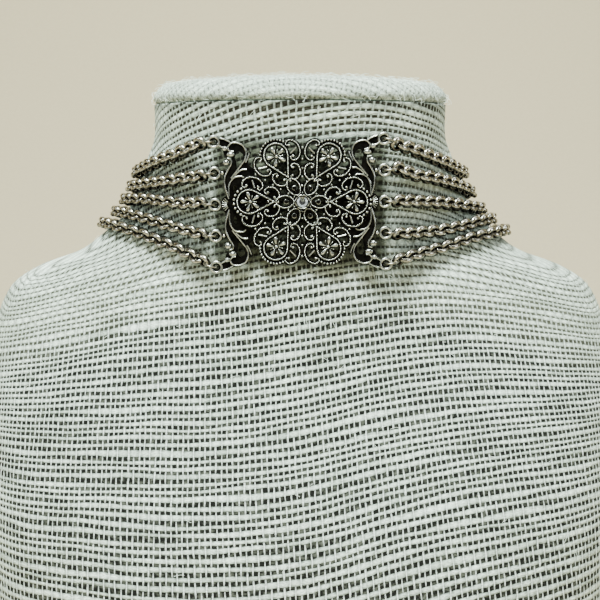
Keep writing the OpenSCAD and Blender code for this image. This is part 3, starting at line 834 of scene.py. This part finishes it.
# %% Chain strands
LINK_ACROSS = 4.8
LINK_WIRE = 1.44
LINK_BAND = 1.65
LINK_STRETCH = 0.95
LINK_PITCH = LINK_ACROSS + LINK_STRETCH - 2 * LINK_WIRE
CHAIN_ROLL = 30
ROLL_VARIES, NOD_VARIES = 5, 4
FIRST_LINK = 0.6
LAST_LINK = 0.1
# The main light's direction, up and out, for the painted shade on the links.
FACES_UP_AND_OUT = (0.75, 0.66)
STARTS = {
    "left": [(29.2, 46.4, 17.5), (29, 47.1, 8), (28.9, 47.7, -0.1), (28.7, 48.3, -9.5),
             (28.4, 49.1, -17.4)],
    "right": [(28.3, 46.5, 17.3), (28.6, 47, 10.3), (28.9, 47.6, 0.5), (29, 48.3, -9.2),
              (29.1, 49, -17)]}
ROUTE_ANGLES = [42, 52, 64, 77, 90, 108, 128, 148, 166]
ROUTES = {
    "left": [
        [(51.8, 15.5), (51, 13.5), (51.2, 11.5), (52.5, 9.5), (54.9, 7.5), (52.9, 7),
         (51.4, 7.5), (51.6, 8), (53.7, 8)],
        [(52.2, 7), (51.6, 6), (52, 5), (54.2, 4), (56.7, 3), (54.2, 2.5), (51.6, 3.5),
         (51.6, 4), (53.7, 4)],
        [(52.8, -0.6), (52.2, -0.4), (52.9, -0.2), (56.2, -0.5), (58.9, -1.2), (56.3, -2),
         (52, -1), (51.8, 0), (53.7, 0)],
        [(53.6, -8.4), (53.1, -7.4), (54.8, -6), (58.8, -5), (61.8, -5.2), (58.9, -6.5),
         (52.7, -5.5), (52.2, -4.5), (53.7, -4)],
        [(54.6, -14.6), (54.8, -12.6), (57.4, -10.4), (62.7, -8.8), (66.2, -9),
         (62.9, -11), (53.9, -10), (52.6, -9), (53.8, -8)]],
    "right": [
        [(51.8, 15.5), (51, 13.5), (51.2, 11.5), (52.7, 9.2), (54.9, 7.5), (52.9, 7),
         (51.4, 7.5), (51.6, 8), (53.7, 8)],
        [(52.2, 8), (51.6, 7), (52, 5.5), (54.4, 3.4), (57.6, 1), (54.6, 1.5), (51.6, 3),
         (51.6, 4), (53.7, 4)],
        [(52.8, 0), (52.2, -0.5), (53.4, -1.5), (57.5, -3), (61.1, -4.2), (57, -3.6),
         (52.1, -2), (51.8, -0.5), (53.7, 0)],
        [(53.8, -9.4), (53.9, -9.4), (56.1, -8.6), (61.2, -7.4), (64.6, -7.6),
         (60.8, -8.2), (52.9, -6.5), (52.2, -4.8), (53.7, -4)],
        [(54.9, -15.6), (55.5, -14.6), (58.8, -12.6), (65.1, -11.2), (69.2, -11.4),
         (64.9, -12.8), (54.6, -11), (52.7, -9.2), (53.8, -8)]]}

link_radius = (LINK_ACROSS - LINK_WIRE) / 2
link = torus(link_radius, LINK_WIRE / 2, 16, 6, (math.pi / 2, 0, 0))
hole_side = [ramp(link_radius - math.hypot(p.x, p.z), -0.3 * LINK_WIRE, 0.4 * LINK_WIRE)
             for p in link[0]]
for point in link[0]:
    point.y *= LINK_BAND / LINK_WIRE
    if abs(point.x) > 0.01:
        point.x += math.copysign(LINK_STRETCH / 2, point.x)


def route(side, k):
    sign = -1 if side == "left" else 1
    x, forward, up = STARTS[side][k]
    points = [Vector((sign * x, NECK_Y - forward, PLAQUE_Z + up))]
    for angle, (radius, height) in zip(ROUTE_ANGLES, ROUTES[side][k]):
        turn = math.radians(angle)
        points.append(Vector((sign * radius * math.sin(turn),
                              NECK_Y - radius * math.cos(turn), PLAQUE_Z + height)))
    return smooth(points, 6)


def link_matrices(side, k):
    path = route(side, k)
    length = walk(path, 1.0, 0.0, 1)[1]
    span = length + LAST_LINK - FIRST_LINK
    count = round(span / LINK_PITCH) + 1
    spots = walk(path, span / (count - 1), FIRST_LINK, count)[0]
    made = []
    for n, (spot, along) in enumerate(spots):
        off = Vector((spot.x, spot.y - NECK_Y, 0)).normalized()
        off = (off - along * off.dot(along)).normalized()
        aside = along.cross(off)
        axes = Matrix((along, off, aside)).transposed().to_4x4()
        roll = CHAIN_ROLL if side == "right" else -CHAIN_ROLL
        lean = math.radians(roll + 90 * (n % 2)
                            + random.uniform(-ROLL_VARIES, ROLL_VARIES))
        nod = math.radians(random.uniform(-NOD_VARIES, NOD_VARIES))
        made.append(Matrix.Translation(spot) @ axes @ Matrix.Rotation(lean, 4, "X")
                    @ Matrix.Rotation(nod, 4, "Y"))
    return made


def tarnish_and_shade_links(strand):
    # Oxide inside each hole, and painted shade wherever the link turns away from the main
    # light.
    tarnish_and_shade = strand.data.attributes.new("tarnish_and_shade", "FLOAT", "POINT")
    for vertex in strand.data.vertices:
        out = Vector((vertex.co.x, vertex.co.y - NECK_Y * MM, 0)).normalized()
        light = FACES_UP_AND_OUT[0] * out + FACES_UP_AND_OUT[1] * Vector((0, 0, 1))
        facing = vertex.normal.dot(light)
        tarnish_and_shade.data[vertex.index].value = max(hole_side[vertex.index % len(hole_side)],
                                                 1 - ramp(facing, -0.05, 0.6))


random.seed(11)
for side in ("left", "right"):
    for k in range(5):
        strand = stamp("strand", link, link_matrices(side, k))
        tarnish_and_shade_links(strand)
        finish_piece(strand, f"chain_{side}_{k + 1}", chain_silver,
                     [f"strand_{side}_{k + 1}"])

# %% [markdown]
# ## Wirework on the rosette
#
# The cast rosette copies filigree: its wires look like rows of tiny grains. A row of
# beads on a thin core gives that look, so both are made along the same curves as the
# solid's openwork, on top of its blackened base. A rounded black bed under each wire is
# wider than the wire, so the wire shows a dark line on both sides.

# %% Grain wire
ROSETTE_U = 0.7
ROSETTE_V = 0.3
ROSETTE_TURN = -1.2
ROSETTE_BASE_TOP = 2.5
ROSETTE_TOP = 3.0
WIRE_GRAIN = 0.25
GRAIN_PITCH = 0.46
WIRE_LEVEL = ROSETTE_BASE_TOP + 0.06
PEAR_U = 15.6
PEAR_R = 3.47
PEAR_TIP_U = 8.3
ALMOND_IN, ALMOND_OUT, ALMOND_HALF = 2.4, 7.7, 1.8
SCROLLS = [
    [(16.5, 4.1), (16.6, 4.8), (17.4, 4.9), (18.1, 3.7), (17.5, 2.1), (16.4, 1.2),
     (14.8, 0.7), (13.6, 0.9), (12.7, 1.4), (12.2, 2.3), (12.4, 3.1), (13, 3.4),
     (13.4, 3.1), (13.3, 2.7)],
    [(10.1, 2.6), (10, 3.1), (10.7, 3.3), (11.2, 2.6), (10.9, 1.5), (9.8, 0.8),
     (8.7, 0.6), (7.5, 1), (6.6, 2), (6.9, 3), (7.5, 3.3), (7.8, 3.1), (7.7, 2.8)]]
LEAF_DROP = [(3.7, 0), (4.3, 0.4), (4.8, 0.6), (5.15, 0.4), (5.3, 0), (5.15, -0.4),
             (4.8, -0.6), (4.3, -0.4), (3.7, 0)]
BLACK_BAND = 0.65
SCROLL_BAR = [(15.9, 1.9), (14.1, 3.6)]


def turned(points, degrees, flip=False):
    turn = math.radians(degrees + ROSETTE_TURN)
    found = []
    for u, v in points:
        v = -v if flip else v
        found.append((u * math.cos(turn) - v * math.sin(turn) + ROSETTE_U,
                      u * math.sin(turn) + v * math.cos(turn) + ROSETTE_V))
    return found


def pear_outline(radius, parts=28):
    lean = math.asin(radius / (PEAR_U - PEAR_TIP_U))
    wide = math.pi / 2 + lean
    tip = PEAR_U - radius / math.sin(lean)
    arc = [(PEAR_U + radius * math.cos(a), radius * math.sin(a))
           for a in (-wide + 2 * wide * i / parts for i in range(parts + 1))]
    return [(tip, 0.0)] + arc + [(tip, 0.0)]


def almond_outline(parts=32):
    middle, half = (ALMOND_IN + ALMOND_OUT) / 2, (ALMOND_OUT - ALMOND_IN) / 2
    return [(middle + half * math.cos(a) * (0.7 + 0.3 * abs(math.cos(a))),
             ALMOND_HALF * math.sin(a)) for a in
            (math.tau * i / parts for i in range(parts + 1))]


def on_plaque(points, w):
    return [plaque(u, v, w) for u, v in points]


rosette_wires, leaf_wires = [], []
for i in range(6):
    rosette_wires.append((turned(pear_outline(PEAR_R), 60 * i), ROSETTE_TOP))
    rosette_wires.append((turned(almond_outline(), 60 * i), WIRE_LEVEL))
    drop = [tuple(p) for p in smooth([Vector(p) for p in LEAF_DROP], 3)]
    leaf_wires.append((turned(drop, 60 * i), ROSETTE_BASE_TOP - 0.5))
    for flip in (False, True):
        for scroll in SCROLLS:
            curve = [tuple(p) for p in smooth([Vector(p) for p in scroll], 4)]
            rosette_wires.append((turned(curve, 60 * i + 30, flip), WIRE_LEVEL))

bpy.ops.object.select_all(action="DESELECT")
bpy.ops.mesh.primitive_uv_sphere_add(segments=6, ring_count=4, radius=WIRE_GRAIN)
grain_bead = take_model()
places = [Matrix.Translation(spot) for points, level in rosette_wires
          for spot, along in walk(on_plaque(points, level), GRAIN_PITCH)[0]]
grains = stamp("grains", grain_bead, places)
print("grains:", len(places))
cores = wire("cores", [on_plaque(points, level - 0.08) for points, level in rosette_wires],
             WIRE_GRAIN * 0.5)
finish_piece(join([grains, cores]), "rosette_grain_wire", relief_silver)
black = [on_plaque(points, level - 0.15 - BLACK_BAND) for points, level in rosette_wires]
finish_piece(wire("black", black, BLACK_BAND), "rosette_blackened_bed", blackened)

# %% [markdown]
# ## Petals, bars and beads of the rosette
#
# Each pear holds a small flower of five drop-shaped petals round a raised centre, with a
# thin stamen between each two. The petal is a ball that is drawn out to a point and
# pressed flat. The beads are small balls that sit half sunk in the base, as cast ones do.

# %% Petals and beads
PETAL_IN, PETAL_OUT, PETAL_HALF, PETAL_THICK = 0.45, 3.0, 0.78, 0.45
STAMEN_SHAPE = (0.55, 0.2, 0.5, 1)  # as a share of a petal
STAMEN_REACH, STAMEN_TIP = 1.75, 0.22
FLOWER_U = PEAR_U - 0.4
FLOWER_EYE = 0.58
BEAD_SPREAD = 58
SIDE_BEADS, OTHER_BEADS = (8, 4.45, 0.43), (11, 4.6, 0.35)  # count, ring, size
AXIS_BEADS = [(7.1, 0.36), (10.0, 0.36)]  # distance from the middle, size
BETWEEN_BEADS = [(2.75, 0.24), (4.75, 0.32), (7.3, 0.31), (9.9, 0.31), (12.6, 0.31),
                 (15.9, 0.31)]
SCROLL_DOTS = [(13.35, 2.75), (16.5, 4.0), (10.1, 2.7), (7.75, 2.9)]
SCROLL_DOT = 0.4
BAR_WIRE, LEAF_WIRE = 0.24, 0.2

bpy.ops.object.select_all(action="DESELECT")
bpy.ops.mesh.primitive_uv_sphere_add(segments=12, ring_count=8, radius=1,
                                     rotation=(0, math.pi / 2, 0))
bpy.ops.object.transform_apply(rotation=True)
for vertex in bpy.context.object.data.vertices:
    out = (vertex.co.x + 1) / 2
    vertex.co = Vector((PETAL_IN + (PETAL_OUT - PETAL_IN) * out ** 0.85,
                        vertex.co.y * PETAL_HALF * (0.2 + 0.8 * out),
                        vertex.co.z * PETAL_THICK * (0.5 + 0.5 * out)))
petal = take_model()
bpy.ops.object.select_all(action="DESELECT")
bpy.ops.mesh.primitive_uv_sphere_add(segments=10, ring_count=6, radius=1)
ball = take_model()


def plaque_matrix(u, v, w, turn=0.0):
    origin = plaque(u, v, w)
    right = (plaque(u + 1, v, w) - origin).normalized()
    up = (plaque(u, v + 1, w) - origin).normalized()
    out = right.cross(up)
    axes = Matrix((right, up, out)).transposed().to_4x4()
    return Matrix.Translation(origin) @ axes @ Matrix.Rotation(turn, 4, "Z")


def rosette_place(u, v, degrees, w, turn=0.0, size=1.0):
    (pu, pv), = turned([(u, v)], degrees)
    return (plaque_matrix(pu, pv, w, math.radians(degrees + ROSETTE_TURN + turn))
            @ Matrix.Scale(size, 4))


petals, balls, bars = [], [], []
for i in range(6):
    axis = 60 * i
    for turn in range(0, 360, 72):
        petals.append(rosette_place(FLOWER_U, 0, axis, ROSETTE_TOP - 0.1, turn))
        small = rosette_place(FLOWER_U, 0, axis, ROSETTE_TOP - 0.3, turn + 36)
        petals.append(small @ Matrix.Diagonal(STAMEN_SHAPE))
        a = math.radians(turn + 36)
        balls.append(rosette_place(FLOWER_U + STAMEN_REACH * math.cos(a),
                                   STAMEN_REACH * math.sin(a), axis,
                                   ROSETTE_TOP - 0.25, size=STAMEN_TIP))
    balls.append(rosette_place(FLOWER_U, 0, axis, ROSETTE_TOP + 0.05, size=FLOWER_EYE))
    for u, size in AXIS_BEADS:
        balls.append(rosette_place(u, 0, axis, ROSETTE_BASE_TOP + 0.15, size=size))
    count, ring, size = SIDE_BEADS if i in (0, 3) else OTHER_BEADS
    for k in range(count):
        a = math.radians(-BEAD_SPREAD + 2 * BEAD_SPREAD * k / (count - 1))
        balls.append(rosette_place(PEAR_U + ring * math.cos(a), ring * math.sin(a), axis,
                                   ROSETTE_TOP - 0.15, size=size))
    for u, size in BETWEEN_BEADS:
        balls.append(rosette_place(u, 0, axis + 30, ROSETTE_BASE_TOP + 0.12, size=size))
    for sign in (-1, 1):
        for u, v in SCROLL_DOTS:
            balls.append(rosette_place(u, sign * v, axis + 30,
                                       ROSETTE_BASE_TOP + 0.1, size=SCROLL_DOT))
        bar = turned([(u, sign * v) for u, v in SCROLL_BAR], axis + 30)
        bars.append(on_plaque(bar, ROSETTE_BASE_TOP + 0.1))
flowers = stamp("petals", petal, petals)
drops = stamp("beads", ball, balls)
bar_wires = wire("bars", bars, BAR_WIRE)
leaf_lines = wire("leaf_lines", [on_plaque(points, level) for points, level in leaf_wires],
                  LEAF_WIRE)
finish_piece(join([flowers, drops, bar_wires, leaf_lines]), "rosette_petals_and_beads",
             relief_silver)
print("petals:", len(petals), "beads:", len(balls))

# %% [markdown]
# ## Raised lines of the side frames
#
# The side frames are cast leaves and scrolls. Polishing has left a bright line along
# each raised edge, while the hollows between stay black. A smooth round wire along each
# edge gives that line, with balls where the casting has them and a small fan of ribs at
# the middle eyelet. Each eyelet has a bright rim, and a black collar inside its hole.
# The collar is the eyelet's blackened inner side, and it also paints the shade that
# fills the hole.

# %% Frame lines
FRAME_LINES = [
    [(20.3, 7.6), (18.1, 10.4), (16.9, 11.9), (16, 13.2), (15.7, 14.6), (15.9, 15.9),
     (16.7, 17.2), (18.2, 17.9), (19.4, 18), (20.3, 17.7), (21, 16.8), (20.9, 16),
     (20.3, 15.5), (19.4, 15.4)],
    [(21, 1.6), (21.8, 4), (22.2, 5.8), (22.2, 7.4), (21.8, 8.8), (21.1, 10.2),
     (20.3, 11.6), (20.1, 12.5), (20.4, 13.2), (21.2, 13.4)],
    [(21, 2.4), (21, 4.6), (20.8, 5.8), (20.2, 7), (19.3, 7.8), (18.2, 8.1), (17, 8.1),
     (16.3, 7.5)],
    [(15.7, 10.1), (16.8, 10.1), (17.7, 9.7), (18.6, 9), (19.2, 8.3)],
    [(14.8, 15), (14.9, 14.3), (15.4, 13.1), (16, 12.1)],
    [(20.3, 18.1), (21.1, 18.6), (22.2, 19.1), (23.2, 19.3)],
    [(22.4, 16.6), (23.1, 16.9), (23.9, 17.4)]]
FRAME_SHIFT = 0.2
FRAME_TOP = 1.2
FRAME_LEVEL = FRAME_TOP + 0.3
FRAME_KNOBS = [  # place, height over the base, half sizes
    ((21.6, 12.2), 0, (1.2, 1.2, 1.2)), ((20.25, 14.6), 0, (1.3, 0.9, 0.9)),
    ((21.9, 16.3), 0, (0.86, 0.86, 0.86)), ((22.8, 9.2), -0.6, (0.76, 0.76, 0.76))]
EDGE_WIRE = 0.26
RIM_RADIUS, RIM_WIRE, RIM_LEVEL = 1.56, 0.46, 0.86
COLLAR_RADIUS, COLLAR_WIRE, COLLAR_LEVEL = RIM_RADIUS - RIM_WIRE, 0.4, 0.45
FAN_RIBS, FAN_WIRE = 7, 0.12
FAN_U, FAN_TURN, FAN_RADII = 20.4, 15.5, (1.1, 1.8, 2.5)

paths, ribs, places = [], [], []
for sign in (-1, 1):
    for flip in (-1, 1):
        for line in FRAME_LINES:
            points = smooth([Vector((sign * (u - FRAME_SHIFT), flip * v))
                             for u, v in line], 5)
            paths.append([plaque(p.x, p.y, FRAME_LEVEL) for p in points])
        for (u, v), over, half in FRAME_KNOBS:
            knob = plaque_matrix(sign * (u - FRAME_SHIFT), flip * v, FRAME_TOP + over)
            places.append(knob @ Matrix.Diagonal((*half, 1)))
    for i in range(FAN_RIBS):
        a = math.radians((i - (FAN_RIBS - 1) / 2) * FAN_TURN)
        ends = [(FAN_U + r * math.cos(a), r * math.sin(a)) for r in FAN_RADII]
        ribs.append([plaque(sign * u, v, FRAME_LEVEL + 0.1) for u, v in ends])
lines = wire("lines", paths, EDGE_WIRE)
fans = wire("fans", ribs, FAN_WIRE)
knobs = stamp("knobs", ball, places)
rims = stamp("rims", torus(RIM_RADIUS, RIM_WIRE),
             [plaque_matrix(u, v, RIM_LEVEL) for u, v in EYELETS])
finish_piece(join([lines, fans, knobs, rims]), "frame_edge_lines", relief_silver)
# The black collars narrow each eyelet's hole: blackened metal, and painted shade in the
# hole.
collars = stamp("collars", torus(COLLAR_RADIUS, COLLAR_WIRE),
                [plaque_matrix(u, v, COLLAR_LEVEL) for u, v in EYELETS])
finish_piece(collars, "eyelet_collars_and_hole_shade", blackened)

# %% [markdown]
# ## The crystal
#
# The little stone in the middle is a machine-cut crystal: a flat table, a ring of crown
# facets and a pavilion that comes to a point behind. Cut glass of this kind has an index of
# refraction near 1.54, and its facets stay flat, so it is not smoothed. A thin cup of
# worn silver foil lies behind it, and the setting's rim runs round it.

# %% Crystal and setting
SETTING_FLOOR = ROSETTE_BASE_TOP + 0.05
SETTING_TOP = SETTING_FLOOR + 1.5
FOIL_IN, FOIL_OUT, FOIL_DEPTH, FOIL_GAP = 0.2, 1.73, 1.12, 0.12

crystal, tree, shader = new_material("cut_crystal_glass")
fill(shader, {"Base Color": linear("#c3cacc"), "Roughness": 0.02, "IOR": 1.54,
              "Transmission Weight": 1.0})
foil, tree, shader = new_material("silver_foil")
fill(shader, {"Base Color": linear("#787c7c"), "Metallic": 1.0, "Roughness": 0.12})
dress("stone", crystal)

bpy.ops.object.select_all(action="DESELECT")
bpy.ops.mesh.primitive_cone_add(vertices=24, radius1=FOIL_IN, radius2=FOIL_OUT,
                                depth=FOIL_DEPTH, end_fill_type="NOTHING",
                                location=(0, 0, FOIL_GAP + FOIL_DEPTH / 2))
cup = bpy.context.object
bpy.ops.object.transform_apply(location=True)
wall = cup.modifiers.new("wall", "SOLIDIFY")
wall.thickness = 0.03
bpy.ops.object.modifier_apply(modifier=wall.name)
foil_cup = stamp("foil", take_model(), [rosette_place(0, 0, 0, SETTING_FLOOR)])
foil_cup.data.polygons.foreach_set("use_smooth", [False] * len(foil_cup.data.polygons))
finish_piece(foil_cup, "stone_foil", foil)

setting_rim = stamp("rim", torus(1.98, 0.2, 32),
                    [rosette_place(0, 0, 0, SETTING_TOP - 0.1)])
finish_piece(setting_rim, "setting_rim", relief_silver)
